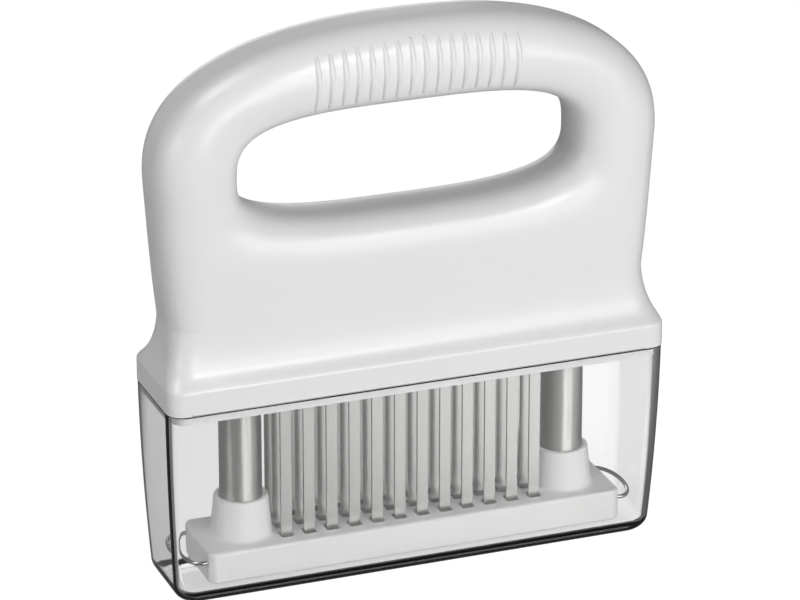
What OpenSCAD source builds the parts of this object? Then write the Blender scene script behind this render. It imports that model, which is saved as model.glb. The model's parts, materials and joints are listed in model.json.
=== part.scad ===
// Blade meat tenderizer: a moulded grip that carries rows of needle blades, a
// sprung guard that hides their tips, and a clear cap that the tool stands in.
// Millimetres. +Z is up, the origin is the centre of the cap's bottom face, and
// X runs along the grip. The tool is drawn standing in its cap, guard down.

/* [Clear cap] */
// Length of the cap and of the grip's flange
cap_l = 140; // [136:1:146]
// Depth of the cap and of the flange, front to back
cap_d = 32.8; // [32:0.2:36]
// Height of the cap, from the floor to the seam
cap_h = 56; // [55:0.5:58]
// Thickness of the cap's walls
cap_wall = 1.6; // [1.2:0.1:1.8]
// Thickness of the cap's floor
cap_floor = 2; // [1.5:0.1:2.4]
// Radius of the cap's upright corners
cap_corner = 5.3; // [4.5:0.1:6]

/* [Grip] */
// Height of the whole tool
total_h = 153.8; // [151:0.2:157]
// Half the grip's greatest length
grip_half_l = 70; // [69:0.1:72]
// Height at which the grip is longest
shoulder_h = 116.1; // [114:0.1:118]
// Half the grip's thickness in the middle of the bar
bar_half_d = 13.5; // [12.5:0.1:14]
// Half the thickness of the panel just above the flange
waist_half_d = 12.4; // [11.5:0.1:13]
// Length of the finger opening
opening_l = 93.8; // [90:0.2:96]
// Height of the finger opening
opening_h = 28.6; // [25:0.2:29]
// Height at which the finger opening is longest
opening_z = 115.4; // [113:0.1:117]

/* [Grip ribs] */
// Number of raised ribs on each face of the bar
rib_count = 16; // [8:1:18]
// Distance from rib to rib
rib_pitch = 3.67; // [3.2:0.01:3.8]

/* [Blades] */
// Blades in a row
blade_columns = 12; // [6:2:12]
// Distance from blade to blade along a row
blade_pitch = 6.45; // [6:0.05:6.45]
// Distance from row to row
row_pitch = 6.3; // [6:0.1:6.3]
// Width of a blade
blade_w = 3.05; // [2.5:0.05:3.1]
// Thickness of a blade
blade_t = 0.8; // [0.6:0.05:0.9]
// Height of the blades' tips with the tool standing in its cap
tip_z = 7.4; // [6.5:0.1:9]

/* [Sprung guard] */
// Length of the guard plate
plate_l = 117.7; // [116:0.1:118]
// Depth of the guard plate, front to back
plate_d = 24.15; // [23:0.05:25]
// Underside of the guard plate at rest
plate_z0 = 5; // [4:0.1:6]
// Top of the guard plate at rest
plate_z1 = 13.8; // [13:0.1:14]
// Distance of each plunger tube from the middle
tube_x = 46; // [45.5:0.1:46.5]
// Outer radius of the plunger tubes
tube_r = 5.72; // [5.5:0.02:5.8]

/* [Hidden] */

// Grip
flange_top = cap_h + 6.8;
waist_z = 76.9;
waist_half_l = 66.7;
bar_z = 141.6;
outline_power = 2.37;
opening_power = 3.2;
opening_up = opening_h * 0.54;
opening_down = opening_h * 0.46;

// Insert that carries the blades
lip_z = cap_h - 2.9;
lip_half = [cap_l / 2 - cap_wall - 0.4, cap_d / 2 - cap_wall - 0.4];
core_half = [64.8, 12.4];
core_top = cap_h + 6;
pocket_half = [65, 12.6];
pocket_top = core_top + 0.2;
block_half = [38.1, 8.2];
block_top = 69.5;
well_half = [54, 8.6];
well_top = 75;
pin_z = 65.5;
pin_r = 0.75;
blade_top = 68.6;
blade_gap = 0.06;

// Plungers
bush_r = 7.6;
bush_top = 64;
ring_r = 6.75;
ring_h = 3;
tube_wall = 0.5;
tube_z0 = 12.4;
tube_z1 = 68;
channel_r = 7.15;
channel_top = 98;
plug_z0 = plate_z0 + 1.6;
plug_top = 20;
running = 0.06;

// Springs
spring_r = 4.0;
spring_wire = 0.55;
spring_turns = 21;
spring_seat_gap = 0.05;

// Collars and clips
collar_top = plate_z1 + 11;
collar_r0 = 8.26;
collar_r1 = 7.3;
clip_z = 10.8;
clip_wire = 0.55;
clip_bow = 4.6;
clip_bow_x = plate_l / 2 + 0.8;
clip_bow_half = 10;
clip_half = 9.5;
clip_grip = 5.65;
clip_end = 41.2;

// Screws
seat_screws = [for (x = [-60, 60], y = [-6.5, 6.5]) [x, y]];
block_screws = [for (x = [-4, 4], y = [-0.5, 0.5]) [x * blade_pitch, y * row_pitch]];

rows = ["front", "middle", "back"];
sides = ["left", "right"];
function side_x(side) = side == "left" ? -tube_x : tube_x;
function two(n) = n < 10 ? str("0", n) : str(n);
function blade_name(r, c) = str("blade_", rows[r], "_", two(c + 1));
function blade_x(c) = (c - (blade_columns - 1) / 2) * blade_pitch;
function row_y(r) = (r - 1) * row_pitch;

// ---- shapes used by more than one piece ----

// Points of a rectangle with round corners, n steps to a corner, anticlockwise
function round_rect(half, r, n) = [
    for (k = [0:3], i = [0:n])
        let (a = 90 * k + 90 * i / n,
             cx = (k == 0 || k == 3 ? 1 : -1) * (half.x - r),
             cy = (k < 2 ? 1 : -1) * (half.y - r))
        [cx + r * cos(a), cy + r * sin(a)]
];

// A closed skin over rings of equal count, with a flat cap at each end
module skin(rings) {
    n = len(rings[0]);
    m = len(rings);
    points = [for (ring = rings) each ring];
    polyhedron(points, concat(
        [[for (i = [0:n - 1]) i]],
        [for (k = [0:m - 2], i = [0:n - 1])
            let (j = (i + 1) % n)
            each [[k * n + i, (k + 1) * n + i, (k + 1) * n + j],
                  [k * n + i, (k + 1) * n + j, k * n + j]]],
        [[for (i = [n - 1:-1:0]) (m - 1) * n + i]]), convexity = 6);
}

function lift(ring, z) = [for (p = ring) [p.x, p.y, z]];
function unit(v) = v / norm(v);

// A round wire along a path, one ring of flat sides at each point of the path
module wire(path, r, sides) {
    n = len(path);
    rings = [for (i = [0:n - 1])
        let (t = unit(path[min(i + 1, n - 1)] - path[max(i - 1, 0)]),
             u = unit(cross(abs(t.z) < 0.9 ? [0, 0, 1] : [1, 0, 0], t)),
             v = cross(t, u))
        [for (k = [0:sides - 1]) path[i] + r * (cos(360 * k / sides) * u - sin(360 * k / sides) * v)]];
    skin(rings);
}

// A flat plate with upright round corners, exact
module round_plate(half, r, z0, z1) {
    translate([0, 0, z0]) linear_extrude(z1 - z0) union() {
        square([2 * half.x, 2 * (half.y - r)], center = true);
        square([2 * (half.x - r), 2 * half.y], center = true);
        for (x = [-1, 1], y = [-1, 1])
            translate([x * (half.x - r), y * (half.y - r)]) circle(r, $fn = 48);
    }
}

// An upright hole through a blade position
module blade_slots(w, t, z0, z1) {
    for (r = [0:2], c = [0:blade_columns - 1])
        translate([blade_x(c) - w / 2, row_y(r) - t / 2, z0]) cube([w, t, z1 - z0]);
}

// ---- clear cap ----

// How far the wall stands in from the seam's outline, at a height above the floor
function draft(z) = let (t = (cap_h - z) / cap_h) [0.55 * t + 1.79 * t * t, 0.6 * t + 1.8 * t * t];

module cover_skin(inset, z_bottom, z_top, edge) {
    top = [cap_l / 2 - inset, cap_d / 2 - inset];
    rim = [for (a = [0:15:90])
        let (z = z_bottom + edge * (1 - cos(a)), in = edge * (1 - sin(a)))
        [z, in]];
    wall = [for (i = [1:8]) [z_bottom + edge + (z_top - z_bottom - edge) * i / 8, 0]];
    skin([for (s = concat(rim, wall))
        let (d = draft(max(s[0], 0)))
        lift(round_rect([top.x - d.x - s[1], top.y - d.y - s[1]],
                        max(cap_corner - inset - s[1] / 2, 1.2), 6), s[0])]);
}

module cover() {
    color([0.86, 0.88, 0.9, 0.35]) difference() {
        cover_skin(0, 0, cap_h, 4.5);
        cover_skin(cap_wall, cap_floor, cap_h + 1, 1.6);
    }
}

// ---- grip ----

// Half the grip's length at a height
function grip_l(z) =
    z <= flange_top ? cap_l / 2 :
    z <= waist_z ? let (s = (z - flange_top) / (waist_z - flange_top))
        waist_half_l + (cap_l / 2 - waist_half_l) * pow(1 - s, 2.4) :
    z <= shoulder_h ? let (s = (z - waist_z) / (shoulder_h - waist_z))
        waist_half_l + (grip_half_l - waist_half_l) * s * (1.36 - 0.36 * s) :
    grip_half_l * pow(max(1 - pow((z - shoulder_h) / (total_h - shoulder_h), outline_power), 0), 1 / outline_power);

// Half the grip's depth at a height
function grip_d(z) =
    z <= flange_top ? cap_d / 2 :
    z <= waist_z ? let (s = (z - flange_top) / (waist_z - flange_top))
        waist_half_d + (cap_d / 2 - waist_half_d) * pow(1 - s, 2.4) :
    z <= bar_z ? waist_half_d + (bar_half_d - waist_half_d) * (z - waist_z) / (bar_z - waist_z) :
    bar_half_d * sqrt(max(1 - pow((z - bar_z) / (total_h - bar_z), 2), 0));

// Radius of the grip's upright edges at a height: full round from the waist up
function grip_edge(z) =
    let (s = min(max((z - flange_top) / (waist_z - flange_top), 0), 1))
    min(grip_d(z), grip_l(z)) * (0.32 + 0.67 * s);

// Heights of the rings that make the grip's skin, closer where it curves
grip_levels = concat([cap_h, flange_top, 63.6, 65, 67, 70, 74, waist_z, 88, 98, 108],
                     [for (a = [0:6:84]) shoulder_h + (total_h - shoulder_h) * sin(a)], [total_h - 0.05]);

module grip_body() {
    skin([for (z = grip_levels)
        lift(round_rect([max(grip_l(z), 2), max(grip_d(z), 0.6)], min(grip_edge(z), grip_d(z) * 0.99), 7), z)]);
}

// Edge of the finger opening at an angle, swollen by a distance
function opening_edge(a, grow) =
    let (p = 2 / opening_power, c = cos(a), s = sin(a))
    [(opening_l / 2 + grow) * sign(c) * pow(abs(c), p),
     ((s > 0 ? opening_up : opening_down) + grow) * sign(s) * pow(abs(s), p)];

module finger_opening() {
    flare = 12.4;
    depth = bar_half_d + 0.4;
    rings = [for (y = [-16, -depth * 0.985, -11.4, -9, -6, -3, 0, 3, 6, 9, 11.4, depth * 0.985, 16])
        let (grow = flare * (1 - sqrt(max(1 - pow(y / depth, 2), 0))))
        [for (k = [0:35]) let (e = opening_edge(-10 * k, grow)) [e.x, y, opening_z + e.y]]];
    skin(rings);
}

// One raised rib: a thin disc set forward in the bar, so that a crescent stands out
module rib(x, face) {
    drop = 2.1 * pow(x / 28.5, 2);
    translate([x, -face * 4.1, bar_z - drop * 0.75])
        rotate([0, 90, 0]) hull() {
            cylinder(h = 0.8, r = bar_half_d - 3.3, center = true, $fn = 24);
            cylinder(h = 2.2, r = bar_half_d - 4.0, center = true, $fn = 24);
        }
}

module handle() {
    color([0.93, 0.93, 0.93]) difference() {
        union() {
            difference() {
                grip_body();
                finger_opening();
            }
            for (i = [0:rib_count - 1], face = [-1, 1])
                rib((i - (rib_count - 1) / 2) * rib_pitch, face);
        }
        round_plate(pocket_half, 3, cap_h - 1, pocket_top);
        round_plate(well_half, 3, pocket_top - 1, well_top);
        for (side = sides)
            translate([side_x(side), 0, well_top - 1]) cylinder(h = channel_top - well_top + 1, r = channel_r, $fn = 64);
        for (p = seat_screws)
            translate([p.x, p.y, pocket_top - 1]) cylinder(h = 10.8, r = 1.28, $fn = 32);
    }
}

// ---- insert and blade block ----

module blade_carrier() {
    color([0.9, 0.9, 0.9]) difference() {
        union() {
            round_plate(lip_half, 3.2, lip_z, cap_h);
            round_plate(core_half, 2.8, cap_h - 0.5, core_top);
        }
        blade_slots(blade_w + 2 * blade_gap, blade_t + 2 * blade_gap, lip_z - 1, core_top + 1);
        for (side = sides)
            translate([side_x(side), 0, lip_z - 1]) cylinder(h = core_top - lip_z + 2, r = bush_r, $fn = 64);
        for (p = seat_screws) {
            translate([p.x, p.y, lip_z - 1]) cylinder(h = core_top - lip_z + 2, r = 1.6, $fn = 32);
            translate([p.x, p.y, lip_z - 1]) cylinder(h = 3.4, r = 3, $fn = 32);
        }
        for (p = block_screws)
            translate([p.x, p.y, core_top - 5]) cylinder(h = 6, r = 1.05, $fn = 32);
    }
}

module blade_block() {
    color([0.8, 0.8, 0.8]) difference() {
        round_plate(block_half, 1.5, core_top, block_top);
        blade_slots(blade_w + 2 * blade_gap, blade_t + 2 * blade_gap, core_top - 1, block_top + 1);
        pin_holes(pin_r + 0.04, 2 * block_half.y + 2);
        for (p = block_screws)
            translate([p.x, p.y, core_top - 1]) cylinder(h = block_top - core_top + 2, r = 1.3, $fn = 32);
    }
}

// A pan-head screw with a cross recess, head at z0 and point at z1
module screw(p, z0, z1, head_r, head_h, shank_r) {
    way = z1 > z0 ? 1 : -1;
    translate([p.x, p.y, z0]) rotate([way > 0 ? 0 : 180, 0, 0]) difference() {
        union() {
            cylinder(h = head_h, r = head_r, $fn = 48);
            cylinder(h = abs(z1 - z0) - shank_r, r = shank_r, $fn = 32);
            translate([0, 0, abs(z1 - z0) - shank_r]) cylinder(h = shank_r, r1 = shank_r, r2 = 0.2, $fn = 32);
        }
        for (a = [0, 90])
            rotate(a) translate([-head_r * 0.55, -0.28, -1]) cube([head_r * 1.1, 0.56, 1 + head_h * 0.6]);
    }
}

module carrier_screws() {
    color([0.6, 0.6, 0.62]) for (p = seat_screws)
        screw(p, lip_z + 0.7, core_top + 8.4, 2.7, 1.7, 1.25);
}

module block_screws() {
    color([0.6, 0.6, 0.62]) for (p = block_screws)
        screw(p, block_top + 1.4, core_top - 4.6, 2.1, 1.4, 1.0);
}

// Across the block at each column: one pin holds a front, a middle and a back blade
module pin_holes(r, length) {
    for (c = [0:blade_columns - 1])
        translate([blade_x(c), length / 2, pin_z]) rotate([90, 0, 0]) cylinder(h = length, r = r, $fn = 32);
}

module blade_pins() {
    color([0.7, 0.7, 0.72]) pin_holes(pin_r, 2 * block_half.y - 0.4);
}

// A flat blade: the tip is cut on a slant and ground to an edge, the head has an eye
module blade(r, c) {
    slant = 2.6;
    bevel = 2.2;
    color([0.75, 0.75, 0.76]) translate([blade_x(c), row_y(r), 0]) difference() {
        intersection() {
            translate([0, blade_t / 2, 0]) rotate([90, 0, 0]) linear_extrude(blade_t) polygon([
                [-blade_w / 2, tip_z + slant], [blade_w / 2, tip_z], [blade_w / 2, blade_top],
                [-blade_w / 2, blade_top]]);
            translate([-blade_w, 0, 0]) rotate([90, 0, 90]) linear_extrude(2 * blade_w) polygon([
                [-0.06, tip_z - 0.1], [0.06, tip_z - 0.1], [blade_t / 2, tip_z + bevel], [blade_t / 2, blade_top],
                [-blade_t / 2, blade_top], [-blade_t / 2, tip_z + bevel]]);
        }
        translate([0, blade_t, pin_z]) rotate([90, 0, 0]) cylinder(h = 2 * blade_t, r = pin_r + 0.04, $fn = 32);
    }
}

// ---- plungers ----

module guide_bush(side) {
    color([0.88, 0.87, 0.82]) translate([side_x(side), 0, lip_z]) difference() {
        cylinder(h = bush_top - lip_z, r = bush_r, $fn = 64);
        translate([0, 0, -1]) cylinder(h = bush_top - lip_z + 2, r = tube_r + running, $fn = 64);
    }
}

module plunger_tube(side) {
    color([0.68, 0.68, 0.7]) translate([side_x(side), 0, tube_z0]) difference() {
        cylinder(h = tube_z1 - tube_z0, r = tube_r, $fn = 96);
        translate([0, 0, -1]) cylinder(h = tube_z1 - tube_z0 + 2, r = tube_r - tube_wall, $fn = 96);
    }
}

module stop_ring(side) {
    color([0.6, 0.6, 0.62]) translate([side_x(side), 0, bush_top]) difference() {
        cylinder(h = ring_h, r = ring_r, $fn = 64);
        translate([0, 0, -1]) cylinder(h = ring_h + 2, r = tube_r, $fn = 64);
    }
}

module foot_plug(side) {
    color([0.55, 0.55, 0.57]) translate([side_x(side), 0, 0]) difference() {
        union() {
            translate([0, 0, plug_z0]) cylinder(h = tube_z0 - plug_z0, r = tube_r, $fn = 64);
            translate([0, 0, tube_z0 - 0.5])
                cylinder(h = plug_top - tube_z0 + 0.5, r = tube_r - tube_wall - 0.02, $fn = 64);
        }
        rotate_extrude($fn = 64) translate([clip_grip - clip_wire - 0.06, clip_z - clip_wire - 0.06])
            square([3, 2 * clip_wire + 0.12]);
    }
}

// A compression spring: closed end turns and evenly spaced working turns
module return_spring(side) {
    z0 = plug_top + spring_wire + spring_seat_gap;
    z1 = channel_top - spring_wire - spring_seat_gap;
    steps = 9;
    color([0.5, 0.5, 0.52]) translate([side_x(side), 0, 0])
        wire([for (i = [0:spring_turns * steps])
            let (a = 360 * i / steps, s = i / (spring_turns * steps))
            [spring_r * cos(a), spring_r * sin(a), z0 + (z1 - z0) * s]], spring_wire, 6);
}

// ---- guard ----

// Middle line of a clip from one leg's end, round the bow, to the other's
function clip_leg(y) = [[clip_end, y * clip_grip, clip_z], [50, y * clip_grip, clip_z],
    [51.5, y * (clip_grip + 0.35), clip_z], [56.2, y * (clip_half - 0.35), clip_z], [57.6, y * clip_half, clip_z]];
function clip_path() = concat(
    clip_leg(-1),
    [for (a = [-90:9:90]) [clip_bow_x + clip_bow * cos(a), clip_bow_half * sin(a), clip_z]],
    [for (i = [4:-1:0]) clip_leg(1)[i]]);

module retaining_clip(side) {
    color([0.62, 0.62, 0.64]) mirror([side == "left" ? 1 : 0, 0, 0]) wire(clip_path(), clip_wire, 8);
}

// Flat-walled channels that a clip's two legs slide in
module clip_channels() {
    half_w = clip_wire + 0.2;
    half_h = clip_wire + 0.12;
    for (y = [-1, 1]) {
        line = concat([[clip_end - 0.5, y * clip_grip, 0]], clip_leg(y), [[plate_l / 2 + 1, y * clip_half, 0]]);
        n = len(line) - 1;
        translate([0, 0, clip_z - half_h]) linear_extrude(2 * half_h)
            polygon(concat([for (i = [0:n]) [line[i].x, line[i].y - half_w]],
                           [for (i = [n:-1:0]) [line[i].x, line[i].y + half_w]]));
    }
}

module guard_plate() {
    color([0.92, 0.92, 0.92]) difference() {
        union() {
            round_plate([plate_l / 2, plate_d / 2], 2.6, plate_z0, plate_z1);
            for (side = sides)
                translate([side_x(side), 0, plate_z1 - 0.01])
                    cylinder(h = collar_top - plate_z1 + 0.01, r1 = collar_r0, r2 = collar_r1, $fn = 96);
        }
        blade_slots(3.5, 3.6, plate_z0 - 1, plate_z1 + 1);
        for (side = sides)
            translate([side_x(side), 0, plug_z0]) cylinder(h = collar_top, r = tube_r + 0.03, $fn = 96);
        clip_channels();
        mirror([1, 0, 0]) clip_channels();
    }
}

// ---- every piece in its own node ----

cover();
handle();
blade_carrier();
blade_block();
blade_pins();
carrier_screws();
block_screws();
guard_plate();
for (side = sides) {
    plunger_tube(side);
    foot_plug(side);
    stop_ring(side);
    guide_bush(side);
    return_spring(side);
    retaining_clip(side);
}
for (r = [0:2], c = [0:blade_columns - 1])
    blade(r, c);
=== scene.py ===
"""Blade meat tenderizer: a moulded grip over rows of needle blades, standing in its clear cap.

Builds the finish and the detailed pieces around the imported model, then the stage and the camera.
Settings are in metres. The piece functions work in millimetres, and meshes are made in metres.
"""

import json
from math import cos, pi, radians, sin
from types import SimpleNamespace

import bmesh
import bpy
import numpy as np
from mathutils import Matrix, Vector
from mathutils.geometry import tessellate_polygon


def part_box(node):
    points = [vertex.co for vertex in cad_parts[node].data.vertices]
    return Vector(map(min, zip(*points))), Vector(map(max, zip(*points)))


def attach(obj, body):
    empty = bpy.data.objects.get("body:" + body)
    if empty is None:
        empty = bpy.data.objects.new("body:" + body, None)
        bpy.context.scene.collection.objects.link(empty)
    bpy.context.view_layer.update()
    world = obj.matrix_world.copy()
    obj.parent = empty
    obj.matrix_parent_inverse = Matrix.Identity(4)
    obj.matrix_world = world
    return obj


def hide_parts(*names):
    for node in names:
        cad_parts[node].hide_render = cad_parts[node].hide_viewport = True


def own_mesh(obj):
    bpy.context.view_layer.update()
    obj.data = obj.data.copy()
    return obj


bl_info = {
    "name": "Blade Meat Tenderizer",
    "version": (1, 0, 0),
    "blender": (4, 5, 0),
    "location": "View3D > Sidebar > Tenderizer",
    "description": "Builds a needle-blade meat tenderizer in its clear cap, with its studio",
    "category": "Add Mesh",
}

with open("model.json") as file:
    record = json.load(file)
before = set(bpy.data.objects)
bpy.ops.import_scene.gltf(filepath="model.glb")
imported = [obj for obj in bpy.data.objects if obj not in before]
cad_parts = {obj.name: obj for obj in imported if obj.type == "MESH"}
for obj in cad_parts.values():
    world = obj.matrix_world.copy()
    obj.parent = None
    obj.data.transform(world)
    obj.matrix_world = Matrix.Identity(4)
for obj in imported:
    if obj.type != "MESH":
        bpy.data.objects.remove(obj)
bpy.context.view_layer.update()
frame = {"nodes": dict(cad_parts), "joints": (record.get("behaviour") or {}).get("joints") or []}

MM = 0.001
SIDES = {"left": -1, "right": 1}


def cad_box(node):
    """Lowest and highest corner of a CAD node, in millimetres."""
    low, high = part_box(node)
    return np.array(low) / MM, np.array(high) / MM


COVER_LOW, COVER_HIGH = cad_box("cover")
PLATE_LOW, PLATE_HIGH = cad_box("guard_plate")
TUBE_LOW, TUBE_HIGH = cad_box("plunger_tube_right")
BUSH_LOW, BUSH_HIGH = cad_box("guide_bush_right")
CARRIER_LOW, CARRIER_HIGH = cad_box("blade_carrier")
SPRING_LOW, SPRING_HIGH = cad_box("return_spring_right")
CLIP_LOW, CLIP_HIGH = cad_box("retaining_clip_right")
TUBE_X = (TUBE_LOW[0] + TUBE_HIGH[0]) / 2
TUBE_R = (TUBE_HIGH[0] - TUBE_LOW[0]) / 2
SEAM_Z = COVER_HIGH[2]


# ---------------------------------------------------------------------------------------------
# Settings a user would change
# ---------------------------------------------------------------------------------------------

class GripSettings(bpy.types.PropertyGroup):
    """Sizes of the moulded grip."""

    half_length: bpy.props.FloatProperty(
        name="Half Length", description="Half the grip's greatest length",
        default=0.070, min=0, unit="LENGTH")
    shoulder_height: bpy.props.FloatProperty(
        name="Shoulder Height", description="Height at which the grip is longest",
        default=0.1161, min=0, unit="LENGTH")
    top_height: bpy.props.FloatProperty(
        name="Top Height", description="Height of the top of the bar",
        default=0.15374, min=0, unit="LENGTH")
    panel_depth: bpy.props.FloatProperty(
        name="Panel Half Depth", description="Half the panel's thickness above the flange",
        default=0.012, min=0, unit="LENGTH")
    bar_depth: bpy.props.FloatProperty(
        name="Bar Half Depth", description="Half the bar's thickness",
        default=0.0135, min=0, unit="LENGTH")
    opening_length: bpy.props.FloatProperty(
        name="Opening Half Length", description="Half the finger opening's length",
        default=0.0469, min=0, unit="LENGTH")
    rib_count: bpy.props.IntProperty(
        name="Ribs", description="Raised ribs on each face of the bar", default=16, min=1)
    rib_pitch: bpy.props.FloatProperty(
        name="Rib Pitch", description="Distance from rib to rib",
        default=0.00367, min=0, unit="LENGTH", precision=5)
    rib_height: bpy.props.FloatProperty(
        name="Rib Height", description="How far a rib stands out of the bar",
        default=0.0008, min=0, unit="LENGTH", precision=5)


class CapSettings(bpy.types.PropertyGroup):
    """Sizes of the clear cap."""

    wall: bpy.props.FloatProperty(
        name="Wall", description="Thickness of the cap's walls",
        default=0.0016, min=0, unit="LENGTH", precision=5)
    floor: bpy.props.FloatProperty(
        name="Floor", description="Thickness of the cap's floor",
        default=0.002, min=0, unit="LENGTH", precision=5)
    corner: bpy.props.FloatProperty(
        name="Corner Radius", description="Radius of the upright corners",
        default=0.0053, min=0, unit="LENGTH", precision=5)


class FinishSettings(bpy.types.PropertyGroup):
    """Colours of the object's materials."""

    plastic: bpy.props.FloatVectorProperty(
        name="White Plastic", description="Colour of the grip and the guard", subtype="COLOR", size=3,
        default=(0.80, 0.80, 0.795), min=0, max=1)
    nylon: bpy.props.FloatVectorProperty(
        name="Nylon", description="Colour of the guide bushes", subtype="COLOR", size=3,
        default=(0.72, 0.71, 0.66), min=0, max=1)
    steel: bpy.props.FloatVectorProperty(
        name="Stainless Steel", description="Colour of the tubes and blades", subtype="COLOR", size=3,
        default=(0.60, 0.595, 0.585), min=0, max=1)
    clear: bpy.props.FloatVectorProperty(
        name="Clear Plastic", description="Tint of the cap", subtype="COLOR", size=3,
        default=(0.99, 0.99, 0.988), min=0, max=1)


class StageSettings(bpy.types.PropertyGroup):
    """Camera and light."""

    azimuth: bpy.props.FloatProperty(
        name="Azimuth", description="Camera's turn to the left of the object's front",
        default=radians(20.84), subtype="ANGLE")
    elevation: bpy.props.FloatProperty(
        name="Elevation", description="Camera's height over the horizon",
        default=radians(22.30), subtype="ANGLE")
    distance: bpy.props.FloatProperty(
        name="Distance", description="Camera's distance from the point it looks at",
        default=1.2303, min=0, unit="LENGTH")
    lens: bpy.props.FloatProperty(
        name="Lens", description="Focal length on a 36 mm sensor", default=209.0, min=1, unit="CAMERA")
    front_power: bpy.props.FloatProperty(
        name="Front Light", description="Power of the soft light in front",
        default=4.25, min=0, unit="POWER")
    right_power: bpy.props.FloatProperty(
        name="Right Light", description="Power of the soft light to the right of it",
        default=3.5, min=0, unit="POWER")
    left_power: bpy.props.FloatProperty(
        name="Left Light", description="Power of the high soft light at the left",
        default=5.6, min=0, unit="POWER")
    side_power: bpy.props.FloatProperty(
        name="Side Light", description="Power of the low soft light at the left",
        default=2.3, min=0, unit="POWER")
    bar_power: bpy.props.FloatProperty(
        name="Bar Light", description="Power of the small light that draws the highlight on the bar",
        default=4.3, min=0, unit="POWER")
    back_power: bpy.props.FloatProperty(
        name="Back Light", description="Power of the weak soft light behind",
        default=2.2, min=0, unit="POWER")
    ambient: bpy.props.FloatProperty(
        name="Ambient", description="Strength of the even light from all round", default=0.02, min=0)


SETTINGS = {
    "tenderizer_grip": GripSettings,
    "tenderizer_cap": CapSettings,
    "tenderizer_finish": FinishSettings,
    "tenderizer_stage": StageSettings,
}


def in_millimetres(settings):
    """The settings with lengths in millimetres and counts as they are."""
    values = {name: getattr(settings, name) for name in type(settings).__annotations__}
    return SimpleNamespace(**{name: value if isinstance(value, int) else round(value / MM, 4)
                              for name, value in values.items()})


# ---------------------------------------------------------------------------------------------
# Shader maths
# ---------------------------------------------------------------------------------------------

class Level:
    """A shader socket that carries a number, so that expressions add its Math nodes."""

    def __init__(self, paint, socket):
        self.paint = paint
        self.socket = socket

    def join(self, operation, *values):
        """The result of one Math node."""
        return self.paint.math(operation, *values)

    def __add__(self, other):
        return self.join("ADD", self, other)

    def __sub__(self, other):
        return self.join("SUBTRACT", self, other)

    def __rsub__(self, other):
        return self.join("SUBTRACT", other, self)

    def __mul__(self, other):
        return self.join("MULTIPLY", self, other)

    def __truediv__(self, other):
        return self.join("DIVIDE", self, other)

    def __rtruediv__(self, other):
        return self.join("DIVIDE", other, self)

    def __abs__(self):
        return self.join("ABSOLUTE", self)

    __radd__ = __add__
    __rmul__ = __mul__

    def clamped(self):
        """The value kept between 0 and 1."""
        return self.join("MINIMUM", self.join("MAXIMUM", self, 0.0), 1.0)


class Paint:
    """Builds one node tree: a material's or the world's."""

    def __init__(self, tree):
        self.tree = tree
        tree.nodes.clear()

    def node(self, kind, settings=None, values=None):
        """Adds a node: its settings are set first, then its sockets get values or links."""
        made = self.tree.nodes.new(kind)
        for name, value in (settings or {}).items():
            setattr(made, name, value)
        for name, value in (values or {}).items():
            self.feed(made.inputs[name], value)
        return made

    def feed(self, socket, value):
        """Links a socket or sets its value."""
        if isinstance(value, Level):
            value = value.socket
        if isinstance(value, bpy.types.NodeSocket):
            self.tree.links.new(value, socket)
        elif hasattr(value, "__len__") and len(value) == 3 and socket.type == "RGBA":
            socket.default_value = (*value, 1.0)
        else:
            socket.default_value = value

    def math(self, operation, *values):
        """A Math node's result on numbers or sockets."""
        inputs = dict(enumerate(values))
        return self.level(self.node("ShaderNodeMath", {"operation": operation}, inputs))

    def level(self, node, output=0):
        """A node's output as a number to reckon with."""
        return Level(self, node.outputs[output])

    def mix(self, amount, first, second):
        """A colour between two colours."""
        return self.node("ShaderNodeMix", {"data_type": "RGBA"}, {
            "Factor": amount, "A": first, "B": second}).outputs["Result"]

    def place(self):
        """Position on the object, in metres; in the world's tree, direction."""
        world = bpy.context.scene.world
        in_world = world is not None and self.tree == world.node_tree
        return self.node("ShaderNodeTexCoord").outputs["Generated" if in_world else "Object"]

    def noise(self, scale, detail=3.0, roughness=0.5, stretch=None):
        """Cloudy noise; a stretch under 1 on an axis draws it out along that axis."""
        where = self.place()
        if stretch:
            where = self.node("ShaderNodeVectorMath", {"operation": "MULTIPLY"},
                              {0: where, 1: stretch}).outputs[0]
        return self.level(self.node("ShaderNodeTexNoise", {}, {
            "Vector": where, "Scale": scale, "Detail": detail, "Roughness": roughness}))

    def bump(self, height, distance):
        """A normal that follows a height, with its depth in metres."""
        return self.node("ShaderNodeBump", {}, {
            "Strength": 1.0, "Distance": distance, "Height": height}).outputs[0]

    def surface(self, shader):
        """Closes a material with one shader."""
        self.node("ShaderNodeOutputMaterial", {}, {"Surface": shader.outputs[0]})


def new_material(name):
    """An empty material and the builder of its nodes."""
    material = bpy.data.materials.new(name)
    material.use_nodes = True
    return material, Paint(material.node_tree)


def dress(piece, material):
    """Puts a material on a piece or a CAD node."""
    piece.data.materials.clear()
    piece.data.materials.append(material)


# ---------------------------------------------------------------------------------------------
# Materials
# ---------------------------------------------------------------------------------------------

def toned(colour, factor):
    """A colour made lighter or darker."""
    return tuple(c * factor for c in colour)


def moulded_plastic(name, colour, roughness, grain):
    """Satin moulded plastic: cloudy tone, very fine mould texture."""
    material, paint = new_material(name)
    cloud = paint.noise(38.0, 3.0)
    fine = paint.noise(5200.0, 2.0, 0.6)
    flow = paint.noise(160.0, 2.0, 0.5, (1.0, 1.0, 0.25))
    shader = paint.node("ShaderNodeBsdfPrincipled", {}, {
        "Base Color": paint.mix((cloud * 0.7 + flow * 0.3).clamped(), toned(colour, 0.965), colour),
        "Roughness": (roughness - 0.05 + cloud * 0.06 + fine * 0.05).clamped(),
        "IOR": 1.55,
        "Normal": paint.bump(fine * 0.6 + flow * 0.4, grain)})
    paint.surface(shader)
    return material


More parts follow.
